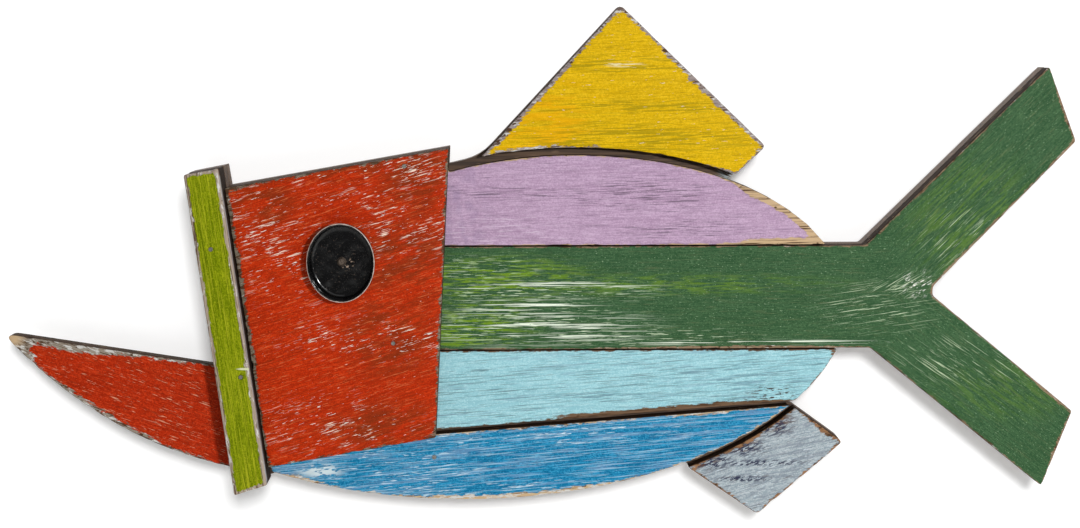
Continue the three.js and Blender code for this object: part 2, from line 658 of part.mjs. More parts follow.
for (const [end, place] of Object.entries(HANGERS)) {
  addPiece(`hanger_strap_${end}`, hangerStrap(place), 'steel');
  addPiece(`hanger_ring_${end}`, hangerRing(place), 'steel');
  HANGER_SCREW_DROPS.forEach((drop, i) =>
    addPiece(`hanger_screw_${end}_${i + 1}`, hangerScrewAt(hangerScrewPlace(place, drop)), 'steel'));
}

for (const [end, x] of Object.entries(BUMPERS)) {
  addPiece(`wall_bumper_${end}`, bumper(x), 'felt');
}

export default fish;
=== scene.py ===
"""Looks for a painted wooden fish wall plaque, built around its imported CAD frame."""

import math

import bpy
import numpy as np
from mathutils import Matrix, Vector, noise
from mathutils.geometry import delaunay_2d_cdt


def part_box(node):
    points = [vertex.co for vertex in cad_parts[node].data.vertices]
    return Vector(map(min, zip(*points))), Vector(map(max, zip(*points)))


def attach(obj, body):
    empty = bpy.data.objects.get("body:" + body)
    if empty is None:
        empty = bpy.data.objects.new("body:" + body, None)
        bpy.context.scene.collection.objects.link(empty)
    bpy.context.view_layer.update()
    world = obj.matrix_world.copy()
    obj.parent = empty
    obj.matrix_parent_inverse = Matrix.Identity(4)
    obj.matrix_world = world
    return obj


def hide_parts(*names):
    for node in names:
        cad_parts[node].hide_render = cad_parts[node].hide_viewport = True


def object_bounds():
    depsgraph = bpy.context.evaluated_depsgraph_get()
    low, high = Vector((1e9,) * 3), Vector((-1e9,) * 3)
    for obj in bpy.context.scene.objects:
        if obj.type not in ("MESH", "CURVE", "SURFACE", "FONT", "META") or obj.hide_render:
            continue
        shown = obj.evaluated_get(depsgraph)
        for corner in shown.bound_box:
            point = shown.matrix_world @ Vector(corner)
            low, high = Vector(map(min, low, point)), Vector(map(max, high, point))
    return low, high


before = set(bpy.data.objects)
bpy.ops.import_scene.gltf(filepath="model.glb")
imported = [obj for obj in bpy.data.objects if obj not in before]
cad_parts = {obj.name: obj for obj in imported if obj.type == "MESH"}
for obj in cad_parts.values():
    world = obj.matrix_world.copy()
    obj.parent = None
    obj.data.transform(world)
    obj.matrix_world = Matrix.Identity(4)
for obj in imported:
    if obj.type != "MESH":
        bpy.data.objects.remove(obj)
cad_box = [list(corner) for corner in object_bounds()]

MM = 0.001
BODY = "plaque"


# --- Building meshes --------------------------------------------------------------------------


def bands(rows, count):
    """The faces between closed rows of points, each of them count points long."""
    faces = []
    for row in range(rows - 1):
        here, there = row * count, (row + 1) * count
        for i in range(count):
            j = (i + 1) % count
            faces.append((here + i, here + j, there + j, there + i))
    return faces


def turned_faces(rows, count):
    """The faces of a closed turned shape: the bands between its rows, and a cap at each end."""
    last = (rows - 1) * count
    return bands(rows, count) + [tuple(reversed(range(count))), tuple(range(last, last + count))]


def stand_in(name, node, vertices, faces, sharp_angle, **values):
    """A piece in place of a CAD node, from points in mm. Edges that turn by more than the angle, in
    degrees, stay sharp. Each list of values has a number for every point, which materials can read."""
    mesh = bpy.data.meshes.new(name)
    mesh.from_pydata([Vector(v) * MM for v in vertices], [], faces)
    for label, numbers in values.items():
        mesh.attributes.new(label, "FLOAT", "POINT").data.foreach_set("value", numbers)
    mesh.shade_smooth()
    mesh.set_sharp_from_angle(angle=math.radians(sharp_angle))
    piece = bpy.data.objects.new(name, mesh)
    bpy.context.scene.collection.objects.link(piece)
    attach(piece, BODY)
    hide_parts(node)
    return piece


def middle(node):
    """The middle of a CAD node as (x, z) in mm."""
    low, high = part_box(node)
    return np.array([(low.x + high.x) / 2 / MM, (low.z + high.z) / 2 / MM])


# --- Worn boards ------------------------------------------------------------------------------
# Each painted board is a dense mesh inside its CAD solid. Its front edge is rubbed round and
# chipped, and every vertex keeps how far it is from the edge, which the paint uses to wear off.

EDGE_STEP = 1.0          # mm between points along an edge
EDGE_PASSES = 2          # times that the outline is softened
NORMAL_PASSES = 14       # times that the directions across the edge are softened
GRID = 2.6               # mm between points inside a face
EDGE_CLEARING = 0.45     # share of the grid's step that its points keep off the edge
CHIP_SIZE = 7.0          # mm, typical length of a chip
BRAD_DENT = 1.35         # mm, radius of the dent that a brad head sits in
DENT_POINTS = 14         # points in each ring around a dent
DENT_RINGS = (1.0, 1.35, 2.0)    # the rings' radii, as shares of the dent's
DENT_CLEARING = 2.6      # share of the dent's radius that the grid keeps out of
FACE_INSET = 0.04        # mm that a painted face lies inside its CAD solid
BOARD_SHARP_ANGLE = 40


def face_outline(node):
    """The outer edge of a CAD node's front face, as (x, z) points in mm, anticlockwise."""
    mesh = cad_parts[node].data
    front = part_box(node)[0].y
    edges = set()
    for polygon in mesh.polygons:
        corners = [mesh.vertices[i].co for i in polygon.vertices]
        if max(abs(corner.y - front) for corner in corners) > 0.01 * MM:
            continue
        flat = [(round(c.x / MM, 3), round(c.z / MM, 3)) for c in corners]
        for a, b in zip(flat, flat[1:] + flat[:1]):
            if (b, a) in edges:
                edges.remove((b, a))
            else:
                edges.add((a, b))
    following = dict(edges)
    loops = []
    while following:
        start, point = following.popitem()
        loop = [start]
        while point != start:
            loop.append(point)
            point = following.pop(point)
        loops.append(np.array(loop))
    outline = max(loops, key=lambda loop: np.ptp(loop[:, 0]) + np.ptp(loop[:, 1]))
    x, z = outline.T
    area = np.sum(x * np.roll(z, -1) - np.roll(x, -1) * z)
    return outline if area > 0 else outline[::-1]


def resampled(loop, step):
    points = []
    for a, b in zip(loop, np.roll(loop, -1, axis=0)):
        count = max(1, round(np.linalg.norm(b - a) / step))
        points.extend(a + (b - a) * i / count for i in range(count))
    return np.array(points)


def softened(values, passes):
    """Values along a closed loop, each averaged with its neighbours."""
    for _ in range(passes):
        values = 0.25 * np.roll(values, 1, axis=0) + 0.5 * values + 0.25 * np.roll(values, -1, axis=0)
    return values


def inward_normals(loop):
    """Softened at corners, where they get shorter too, so that an inset loop never crosses itself."""
    tangent = np.roll(loop, -1, axis=0) - np.roll(loop, 1, axis=0)
    tangent /= np.linalg.norm(tangent, axis=1, keepdims=True)
    return softened(np.stack([-tangent[:, 1], tangent[:, 0]], axis=1), NORMAL_PASSES)


def wobble(points, size, seed):
    """Smooth noise from -1 to 1 at each (x, z) point. Size is the width of a bump in mm."""
    return np.array([noise.noise(Vector((x / size, z / size, seed))) for x, z in points])


def inside(points, loop):
    """Which points lie inside a closed loop."""
    x, z = points[:, 0, None], points[:, 1, None]
    x1, z1 = loop.T
    x2, z2 = np.roll(loop, -1, axis=0).T
    crosses = (z1 > z) != (z2 > z)
    at = x1 + (z - z1) * (x2 - x1) / np.where(z2 == z1, 1e-9, z2 - z1)
    return np.sum(crosses & (x < at), axis=1) % 2 == 1


def distance_to(points, loop):
    """Distance from each point to the nearest of a loop's own closely spaced points."""
    nearest = np.full(len(points), 1e9)
    for start in range(0, len(points), 2000):
        part = points[start:start + 2000, None]
        nearest[start:start + 2000] = np.sqrt(((part - loop) ** 2).sum(axis=2)).min(axis=1)
    return nearest


def triangulate(points, loop_length):
    """Triangles that fill the loop made by the first points, using all the points."""
    ring = [(i, (i + 1) % loop_length) for i in range(loop_length)]
    result = delaunay_2d_cdt([Vector(p) for p in points], ring, [], 1, 1e-6)
    origin = [source[0] for source in result[3]]
    return [[origin[i] for i in face] for face in result[2]]


def face_grid(loop, brads):
    """Points inside a face, with rings of them around each brad."""
    low, high = loop.min(axis=0), loop.max(axis=0)
    x, z = np.meshgrid(np.arange(low[0], high[0], GRID), np.arange(low[1], high[1], GRID))
    grid = np.stack([x.ravel(), z.ravel()], axis=1)
    grid = grid[inside(grid, loop)]
    grid = grid[distance_to(grid, loop) > EDGE_CLEARING * GRID]
    turn = np.linspace(0, 2 * math.pi, DENT_POINTS, endpoint=False)
    circle = np.stack([np.cos(turn), np.sin(turn)], axis=1)
    for brad in brads:
        grid = grid[np.linalg.norm(grid - brad, axis=1) > DENT_CLEARING * BRAD_DENT]
        rings = [brad + circle * share * BRAD_DENT for share in DENT_RINGS]
        grid = np.vstack([grid, [brad], *rings])
    return grid


def edge_sections(outline, front, rear, rounding, chips, seed):
    """A board's edge, from its rear face round to its front one. Each section has its inset from the
    outline and its y, in mm, and how much it counts as side rather than face."""
    fine = 0.5 + 0.5 * wobble(outline, 1.7, seed)
    saw = 0.5 + 0.5 * wobble(outline, 3.1, seed + 5)
    chip = chips * np.clip(2.4 * wobble(outline, CHIP_SIZE, seed + 9) - 0.35, 0, 1.2)
    depth = rear - front
    return [
        (0.10 + 0.12 * fine, rear, 1.0),
        (0.02 + 0.14 * saw, front + 0.66 * depth, 1.0),
        (0.02 + 0.14 * fine, front + 0.33 * depth, 1.0),
        (0.06 + 0.12 * saw + 0.2 * chip, front + rounding * 0.7 + 0.7 * chip, 1.0),
        (0.22 * rounding + 0.2 * fine + 0.6 * chip, front + rounding * 0.3 + 0.3 * chip, 0.5),
        (0.62 * rounding + 0.35 * saw + 1.3 * chip, front + 0.1, 0.0),
    ]


def face_relief(grid, from_edge, brads, seed):
    """How deep each point of a face lies in mm: waves, a fall towards the edge, and brad dents."""
    relief = 0.05 * wobble(grid, 9.0, seed + 13) + 0.1 * np.exp(-from_edge / 1.5)
    for brad in brads:
        reach = np.linalg.norm(grid - brad, axis=1) / BRAD_DENT
        relief += 0.5 * np.clip((1.25 - reach) * 4, 0, 1) + 0.12 * np.clip(2 - reach, 0, 1)
    return relief


def worn_board(name, node, brads, rounding, chips, seed):
    """A board in place of a CAD node, with a rubbed and chipped front edge."""
    low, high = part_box(node)
    front, rear = low.y / MM, high.y / MM
    outline = softened(resampled(face_outline(node), EDGE_STEP), EDGE_PASSES)
    normal = inward_normals(outline)
    sections = edge_sections(outline, front, rear, rounding, chips, seed)
    loops = [outline + normal * inset[:, None] for inset, _, _ in sections]
    count = len(outline)
    vertices, edge, side = [], [], []
    for loop, (inset, y, sideways) in zip(loops, sections):
        vertices.extend((x, at, z) for (x, z), at in zip(loop, np.broadcast_to(y, count)))
        edge.extend(inset)
        side.extend([sideways] * count)
    faces = bands(len(sections), count)
    faces.extend(tuple(reversed(face)) for face in triangulate(loops[0], count))

    grid = face_grid(loops[-1], brads)
    from_edge = distance_to(grid, outline)
    relief = face_relief(grid, from_edge, brads, seed)
    vertices.extend((x, front + FACE_INSET + deep, z) for (x, z), deep in zip(grid, relief))
    edge.extend(from_edge)
    side.extend([0.0] * len(grid))
    # The front face starts at the last section's points, and the grid's follow them
    start = (len(sections) - 1) * count
    for face in triangulate(np.vstack([loops[-1], grid]), count):
        faces.append(tuple(start + i for i in face))
    return stand_in(name, node, vertices, faces, BOARD_SHARP_ANGLE, edge=edge, side=side)


# --- Eye --------------------------------------------------------------------------------------

EYE_TURNS = 96
EYE_SHARP_ANGLE = 50
SKIRT_INSET = 0.95       # mm, from the cap's radius to the skirt under its rolled rim
# The rolled rim: inset from the cap's radius and y behind its front, in mm, and how rubbed it is. The
# enamel turns the rubbed share into a pale line that is worn metal and painted highlight.
EYE_RIM = [
    (SKIRT_INSET, 2.2, 0.0), (0.5, 1.75, 0.1), (0.05, 1.2, 0.3), (0.02, 0.8, 0.6), (0.3, 0.25, 1.0),
    (0.8, 0.03, 0.7), (1.3, 0.15, 0.2), (1.7, 0.6, 0.0), (1.9, 1.2, 0.0),
]
# The wall of the dish: inset from the cap's radius and y in front of its rear, in mm
EYE_WALL = [(2.0, 3.4), (2.3, 2.2), (3.0, 1.5), (4.0, 1.25)]
EYE_FLOOR_INSET = 5.0
EYE_FLOOR_RISE = 1.15    # mm in front of the rear
EYE_FLOOR_RINGS = 14
EYE_FLOOR_INNER = 1.2    # mm, radius of the innermost ring, under the nail's head
EYE_DENT_FROM = 4.5      # mm inside the cap's radius, where the floor starts to be dented
EYE_DENT_WIDTH = 6.0
EYE_DENT_DEPTH = 0.25


def eye_dish():
    """The oval cap, with a rolled rim and a floor that the nail has pulled slightly out of shape."""
    low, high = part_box("eye_cap")
    centre = (low + high) / (2 * MM)
    radius = (high.z - low.z) / (2 * MM)
    squeeze = (high.x - low.x) / (high.z - low.z)
    front, rear = low.y / MM, high.y / MM
    rings = [(radius - SKIRT_INSET, rear, 0.0)]
    rings += [(radius - inset, front + y, rubbed) for inset, y, rubbed in EYE_RIM]
    rings += [(radius - inset, rear - y, 0.0) for inset, y in EYE_WALL]
    floor_radii = np.linspace(radius - EYE_FLOOR_INSET, EYE_FLOOR_INNER, EYE_FLOOR_RINGS)
    rings += [(r, rear - EYE_FLOOR_RISE, 0.0) for r in floor_radii]
    vertices, rim = [], []
    for r, y, rubbed in rings:
        for k in range(EYE_TURNS):
            turn = 2 * math.pi * k / EYE_TURNS
            x, z = r * math.cos(turn) * squeeze, r * math.sin(turn)
            bump = noise.noise(Vector((x / EYE_DENT_WIDTH, z / EYE_DENT_WIDTH, 4.2)))
            dent = EYE_DENT_DEPTH * bump if r < radius - EYE_DENT_FROM else 0.0
            vertices.append((centre.x + x, y - dent, centre.z + z))
            rim.append(rubbed)
    faces = turned_faces(len(rings), EYE_TURNS)
    return stand_in("eye", "eye_cap", vertices, faces, EYE_SHARP_ANGLE, rim=rim)


# --- Screws -----------------------------------------------------------------------------------

SCREW_TURNS = 40
SCREW_SHARP_ANGLE = 35
# Rings of points on the flat of the head, and the cross, all as shares of the head's radius
FACE_RINGS = (0.04, 0.09, 0.16, 0.25, 0.34, 0.43, 0.5, 0.6, 0.75, 0.95)
RECESS_REACH = 0.56
RECESS_HALF_WIDTH = 0.13
RECESS_DEPTH = 0.45
RIM_ROUNDING = 0.12      # mm
CROSS_TURN = 2.4         # radians, the most that a cross is turned from upright


def turned_profile(node):
    """The shape of a CAD screw as (radius, y) in mm, from its head at the rear to its tip."""
    x, z = middle(node)
    widest = {}
    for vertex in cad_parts[node].data.vertices:
        y = round(vertex.co.y / MM, 2)
        radius = math.hypot(vertex.co.x / MM - x, vertex.co.z / MM - z)
        widest[y] = max(widest.get(y, 0.0), radius)
    return [(widest[y], y) for y in sorted(widest, reverse=True)]


def recess(u, v):
    """How deep the cross is at a place on the head. Everything is a share of the head's radius."""
    long_way, short_way = max(abs(u), abs(v)), min(abs(u), abs(v))
    if short_way > RECESS_HALF_WIDTH or long_way > RECESS_REACH:
        return 0.0
    return RECESS_DEPTH * (1 - 0.5 * long_way / RECESS_REACH)


def cross_screw(node, seed):
    """A screw with a cross in its head, in place of a CAD node."""
    x, z = middle(node)
    (head_radius, rear), *shank = turned_profile(node)
    face = [(share * head_radius, rear) for share in FACE_RINGS]
    rings = [*face, (head_radius, rear - RIM_ROUNDING), *shank]
    start = CROSS_TURN * noise.noise(Vector((seed, 0.5, 0.5)))
    vertices = []
    for radius, y in rings:
        for k in range(SCREW_TURNS):
            turn = 2 * math.pi * k / SCREW_TURNS
            u, v = radius * math.cos(turn) / head_radius, radius * math.sin(turn) / head_radius
            sunk = recess(u, v) * head_radius if y == rear else 0.0
            across, up = radius * math.cos(turn + start), radius * math.sin(turn + start)
            vertices.append((x + across, y - sunk, z + up))
    faces = turned_faces(len(rings), SCREW_TURNS)
    return stand_in(node + "_fine", node, vertices, faces, SCREW_SHARP_ANGLE)


# --- Materials --------------------------------------------------------------------------------


def srgb(red, green, blue):
    """A colour from 0 to 255 values, as a linear RGBA."""
    share = [c / 255 for c in (red, green, blue)]
    return [c / 12.92 if c < 0.04045 else ((c + 0.055) / 1.055) ** 2.4 for c in share] + [1.0]


TAN = srgb(196, 168, 132)
PALE = srgb(205, 203, 198)
UMBER = srgb(82, 60, 43)
SOOT = srgb(44, 34, 28)
WHITE = srgb(238, 238, 230)


class Coats:
    """One material, built up from coats of colour. All lengths are in mm.

    A share says how much of something shows at each place, from 0 to 1. Place is where a point is,
    and along is the same turned so that its X follows the brush. Kept is where the paint still is."""

    def __init__(self, name):
        self.material = bpy.data.materials.new(name)
        self.material.use_nodes = True
        self.tree = self.material.node_tree
        self.tree.nodes.clear()
        self.shader = self.tree.nodes.new("ShaderNodeBsdfPrincipled")
        output = self.tree.nodes.new("ShaderNodeOutputMaterial")
        self.tree.links.new(self.shader.outputs[0], output.inputs[0])
        coordinates = self.tree.nodes.new("ShaderNodeTexCoord")
        self.place = self.vector("DIVIDE", coordinates.outputs["Object"], (MM, MM, MM))
        self.along = self.place
        self.kept = 1.0
        self.colour = UMBER
        self.height = 0.0
        self.roughness = 0.7

    def feed(self, socket, value):
        if isinstance(value, bpy.types.NodeSocket):
            self.tree.links.new(value, socket)
        else:
            socket.default_value = value

    def vector(self, operation, a, b):
        node = self.tree.nodes.new("ShaderNodeVectorMath")
        node.operation = operation
        self.feed(node.inputs[0], a)
        self.feed(node.inputs[1], b)
        return node.outputs["Value" if operation == "LENGTH" else "Vector"]

    def math(self, operation, a, b, clamp=False):
        node = self.tree.nodes.new("ShaderNodeMath")
        node.operation = operation
        node.use_clamp = clamp
        self.feed(node.inputs[0], a)
        self.feed(node.inputs[1], b)
        return node.outputs[0]

    def attribute(self, name):
        node = self.tree.nodes.new("ShaderNodeAttribute")
        node.attribute_name = name
        return node.outputs["Fac"]

    def axis(self, name):
        node = self.tree.nodes.new("ShaderNodeSeparateXYZ")
        self.feed(node.inputs[0], self.place)
        return node.outputs[name]

    def step(self, value, low, high):
        """0 below low and 1 above high, smooth between. With low above high it falls."""
        node = self.tree.nodes.new("ShaderNodeMapRange")
        node.interpolation_type = "SMOOTHSTEP"
        self.feed(node.inputs["Value"], value)
        node.inputs["From Min"].default_value = low
        node.inputs["From Max"].default_value = high
        return node.outputs[0]

    def mix(self, share, a, b, kind="RGBA"):
        """A where share is 0 and b where it is 1. Kind is RGBA, FLOAT or VECTOR."""
        node = self.tree.nodes.new("ShaderNodeMix")
        node.data_type = kind
        self.feed(node.inputs["Factor"], share)
        self.feed(node.inputs["A"], a)
        self.feed(node.inputs["B"], b)
        return node.outputs["Result"]

    def turned(self, angle):
        """The place, turned so that X runs along strokes that rise at an angle in degrees."""
        node = self.tree.nodes.new("ShaderNodeVectorRotate")
        node.rotation_type = "Y_AXIS"
        self.feed(node.inputs["Vector"], self.place)
        node.inputs["Angle"].default_value = math.radians(angle)
        return node.outputs[0]

    def grain(self, along, length, width, shift, detail=3.0, roughness=0.6, bend=0.0):
        """Noise drawn out along strokes. Each use in a material has its own shift, to look different."""
        moved = self.vector("ADD", along, (shift, 0.37 * shift, 0.71 * shift))
        scaled = self.vector("MULTIPLY", moved, (1 / length, 1 / width, 1 / width))
        node = self.tree.nodes.new("ShaderNodeTexNoise")
        self.feed(node.inputs["Vector"], scaled)
        node.inputs["Scale"].default_value = 1.0
        node.inputs["Detail"].default_value = detail
        node.inputs["Roughness"].default_value = roughness
        node.inputs["Distortion"].default_value = bend
        return node.outputs["Fac"]

    def clouds(self, size, shift, detail=2.0):
        return self.grain(self.place, size, size, shift, detail)

    def patch(self, x, z, wide, high, soft=0.6):
        """1 inside an oval place and fading to 0 around it."""
        away = self.vector("SUBTRACT", self.place, (x, 0, z))
        shaped = self.vector("MULTIPLY", away, (1 / wide, 0, 1 / high))
        return self.step(self.vector("LENGTH", shaped, (0, 0, 0)), 1.0 + soft, 1.0 - soft)

    def any_of(self, *shares):
        """The largest of several shares at each place."""
        total = shares[0]
        for share in shares[1:]:
            total = self.math("MAXIMUM", total, share)
        return total

    def ovals(self, *places):
        """1 inside any of several ovals, each an x and z with half a width and half a height."""
        return self.any_of(*[self.patch(*place) for place in places])

    def all_of(self, *shares):
        """Where all the shares meet: their product. A plain number weakens the others."""
        total = shares[0]
        for share in shares[1:]:
            total = self.math("MULTIPLY", total, share, clamp=True)
        return total

    def coat(self, share, colour, lift=0.0):
        """Lays a colour over what is there. Lift is its thickness in mm."""
        self.colour = self.mix(share, self.colour, colour)
        if lift:
            self.height = self.math("ADD", self.height, self.math("MULTIPLY", share, lift))

    def finish(self):
        self.feed(self.shader.inputs["Base Color"], self.colour)
        self.feed(self.shader.inputs["Roughness"], self.roughness)
        node = self.tree.nodes.new("ShaderNodeBump")
        node.inputs["Distance"].default_value = MM
        self.feed(node.inputs["Height"], self.height)
        self.feed(self.shader.inputs["Normal"], node.outputs[0])
        return self.material


MARK_LEVEL = 0.72        # noise is hardly ever above this
PAINT_LIFT = 0.16        # mm, thickness of the paint
FLECK_LIFT = 0.08        # mm, thickness of a fleck of another colour
THIN_LIFT = 0.06         # mm, thickness of a fainter mark


def bare_wood(coats, light, pale, stained):
    """Wood under the paint: grain lines, rubbed pale in places and stained dark in others. Pale and
    stained are how much of it each covers, from 0 to 1."""
    along = coats.along
    lines = coats.grain(along, 30, 0.7, shift=3, bend=0.4)
    coats.colour = coats.mix(coats.step(lines, 0.36, 0.5), UMBER, light)
    rubbed = coats.grain(along, 6, 1.5, shift=40, detail=4, roughness=0.7)
    coats.coat(coats.step(rubbed, 0.7 - 0.3 * pale, 0.76 - 0.3 * pale), PALE)
    smeared = coats.grain(along, 5, 2.0, shift=80, detail=5)
    coats.coat(coats.step(smeared, 0.7 - 0.3 * stained, 0.76 - 0.3 * stained), UMBER)
    coats.height = coats.math("MULTIPLY", lines, 0.12)


def brushed(coats, tones, streaky):
    """Paint in three tones, deep, main and light, drawn out by the bristles of a brush. Gives its
    colour, and the height of the ridges in it."""
    deep, main, light = tones
    along = coats.along
    broad = coats.grain(along, 50, 7, shift=11, detail=5)
    bristle = coats.grain(along, 24, 0.9, shift=15, detail=2)
    hair = coats.grain(along, 9, 0.45, shift=19, detail=2, roughness=0.7)
    pores = coats.grain(along, 1.6, 0.6, shift=23, detail=2, roughness=0.7)
    grit = coats.clouds(0.9, shift=29, detail=1)
    # Each layer's noise, where it starts to show, where it shows fully, how strongly, and its tone
    layers = [
        (broad, 0.54, 0.4, 0.55 * streaky, deep),
        (bristle, 0.5, 0.64, 0.5 * streaky, light),
        (bristle, 0.48, 0.36, 0.5 * streaky, deep),
        (hair, 0.54, 0.61, 0.75, light),
        (hair, 0.46, 0.39, 0.75, deep),
        (pores, 0.44, 0.38, 0.8, deep),
        (grit, 0.57, 0.66, 0.6, light),
        (grit, 0.43, 0.34, 0.6, deep),
    ]
    paint = main
    for layer, start, full, strength, tone in layers:
        paint = coats.mix(coats.all_of(coats.step(layer, start, full), strength), paint, tone)
    ridges = (coats.math("MULTIPLY", bristle, 0.09), coats.math("MULTIPLY", hair, 0.06))
    return paint, coats.math("ADD", *ridges)


def painted(name, angle, tones, wood, wear, ragged, extra_wear=None, bend=None, streaky=1.0):
    """Brushed paint over wood, with strokes that rise at an angle in degrees.

    Wood is what bare_wood takes. The paint is worn off within about wear mm of the edge, give or
    take ragged mm. Extra_wear adds mm of wear in places, and bend changes the strokes' direction."""
    coats = Coats(name)
    coats.along = coats.turned(angle)
    if bend is not None:
        coats.along = bend(coats)
    bare_wood(coats, *wood)
    paint, ridges = brushed(coats, tones, streaky)
    torn = coats.grain(coats.along, 4.0, 1.0, shift=27, roughness=0.65)
    clumps = coats.clouds(9, shift=33)
    reach = coats.attribute("edge")
    for rough, amount in ((torn, ragged), (clumps, 0.8 * ragged)):
        swing = coats.math("MULTIPLY", coats.math("SUBTRACT", rough, 0.5), amount)
        reach = coats.math("ADD", reach, swing)
    if extra_wear is not None:
        reach = coats.math("SUBTRACT", reach, extra_wear(coats))
    coats.kept = coats.step(reach, wear - 0.3, wear + 0.3)
    coats.coat(coats.kept, paint, lift=PAINT_LIFT)
    coats.height = coats.math("ADD", coats.height, ridges)
    coats.roughness = coats.mix(coats.kept, 0.8, 0.5, "FLOAT")
    coats.shader.inputs["Specular IOR Level"].default_value = 0.05
    return coats


def sides(coats, deep=SOOT, light=UMBER, worn=TAN):
    """Stained, sawn sides and rear around a painted face."""
    lines = coats.grain(coats.along, 30, 0.9, shift=51, detail=4)
    stain = coats.mix(coats.step(lines, 0.4, 0.65), deep, light)
    rubbed = coats.step(coats.grain(coats.along, 14, 2, shift=57, detail=4), 0.6, 0.72)
    stain = coats.mix(coats.all_of(rubbed, 0.4), stain, worn)
    coats.coat(coats.step(coats.attribute("side"), 0.62, 0.9), stain)


def marks(coats, length, width, amount, shift, where=None, along=None, soft=0.04):
    """Marks on the paint, as a nearly dry brush leaves them, about length by width mm. A larger
    amount gives more of them. They can keep to a place, and have a direction of their own."""
    strokes = along or coats.along
    streaks = coats.grain(strokes, length, width, shift, detail=2, roughness=0.7, bend=0.15)
    start = MARK_LEVEL - amount
    share = coats.all_of(coats.step(streaks, start, start + soft), coats.kept)
    return share if where is None else coats.all_of(share, where)


def head_red():
    tones = (srgb(150, 34, 4), srgb(184, 44, 6), srgb(206, 62, 18))
    wood = (srgb(128, 118, 102), 0.3, 0.7)
    low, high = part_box("head_panel")

    def long_edges(coats):
        front = coats.patch(low.x / MM + 6, -20, 15, 110, soft=0.4)
        rear = coats.patch(high.x / MM - 8, -60, 9, 60, soft=0.5)
        return coats.math("ADD", coats.math("MULTIPLY", front, 1.6), coats.all_of(rear, 0.6))

    coats = painted("head_paint", 17, tones, wood, 0.8, 6.0, long_edges, streaky=0.8)
    burnt = coats.grain(coats.along, 24, 6, shift=71, detail=6, roughness=0.75)
    places = coats.ovals(
        (-75, 78, 22, 26), (-82, 24, 28, 22), (-128, 84, 62, 10),
        (-92, -20, 24, 26), (-165, 60, 18, 12), (-95, -76, 34, 14),
    )
    burnt = coats.all_of(coats.step(burnt, 0.42, 0.56), places, 0.65, coats.kept)
    coats.coat(burnt, srgb(112, 46, 16))
    coats.coat(coats.all_of(marks(coats, 14, 0.5, 0.13, 91), 0.6), srgb(112, 42, 12))
    coats.coat(coats.all_of(marks(coats, 10, 0.5, 0.10, 101), 0.7), srgb(214, 112, 66))
    busy = coats.ovals(
        (-96, 48, 50, 20), (-150, 26, 30, 24), (-110, 80, 60, 12),
        (-125, -76, 42, 16), (-100, -22, 50, 12), (-170, 50, 18, 20),
    )
    clustered = coats.all_of(busy, coats.step(coats.clouds(20, shift=127), 0.48, 0.58))
    flecks = marks(coats, 11, 0.7, 0.115, 131, clustered, soft=0.025)
    coats.coat(flecks, srgb(244, 222, 204), lift=FLECK_LIFT)
    coats.coat(marks(coats, 7, 0.8, 0.045, 137, busy, soft=0.02), WHITE, lift=FLECK_LIFT)
    coats.coat(marks(coats, 4, 0.9, 0.01, 139), srgb(228, 186, 166), lift=FLECK_LIFT)
    sides(coats)
    return coats.finish()


def jaw_red():
    tones = (srgb(138, 30, 4), srgb(180, 42, 8), srgb(206, 66, 28))
    wood = (srgb(150, 140, 126), 0.6, 0.5)

    def tip_and_rim(coats):
        tip = coats.patch(-322, -24, 14, 9)
        upper = coats.all_of(coats.patch(-285, -30, 36, 8), 0.4)
        lower = coats.all_of(coats.patch(-276, -72, 52, 20), 0.25)
        return coats.math("MULTIPLY", coats.any_of(tip, upper, lower), 9.0)

    coats = painted("jaw_paint", -20, tones, wood, 0.8, 7.0, tip_and_rim, streaky=0.7)
    coats.coat(coats.all_of(marks(coats, 12, 0.6, 0.12, 151), 0.5), srgb(120, 60, 34))
    coats.coat(marks(coats, 9, 0.6, 0.085, 141), srgb(218, 150, 118), lift=FLECK_LIFT)
    coats.coat(coats.patch(-322, -23, 7, 5), TAN)
    sides(coats)
    return coats.finish()


def slat_lime():
    tones = (srgb(92, 108, 0), srgb(122, 137, 4), srgb(156, 164, 22))
    wood = (srgb(168, 152, 136), 0.5, 0.2)
    coats = painted("slat_paint", 97.1, tones, wood, 2.1, 3.0)
    coats.coat(coats.all_of(marks(coats, 50, 0.7, 0.16, 161), 0.6), srgb(178, 178, 38))
    coats.coat(coats.all_of(marks(coats, 30, 0.6, 0.14, 167), 0.5), srgb(78, 90, 0))
    coats.coat(coats.patch(-178, -39, 5, 0.7, soft=0.3), srgb(206, 210, 170), lift=THIN_LIFT)
    sides(coats, deep=srgb(120, 116, 110), light=srgb(176, 180, 182), worn=UMBER)
    # The pale wash covers only the front few mm of its sides. Its ends are brown, and the rest, further
    # back, is painted soot dark: painted shade, as in the gap beside the head panel.
    top = coats.step(coats.axis("Z"), 75.5, 77.5)
    foot = coats.step(coats.axis("Z"), -108, -110)
    beside = coats.step(coats.attribute("side"), 0.8, 1.0)
    coats.coat(coats.all_of(coats.any_of(top, foot), beside), UMBER)
    coats.coat(coats.all_of(coats.step(coats.axis("Y"), -34.5, -32), beside), SOOT)
    return coats.finish()


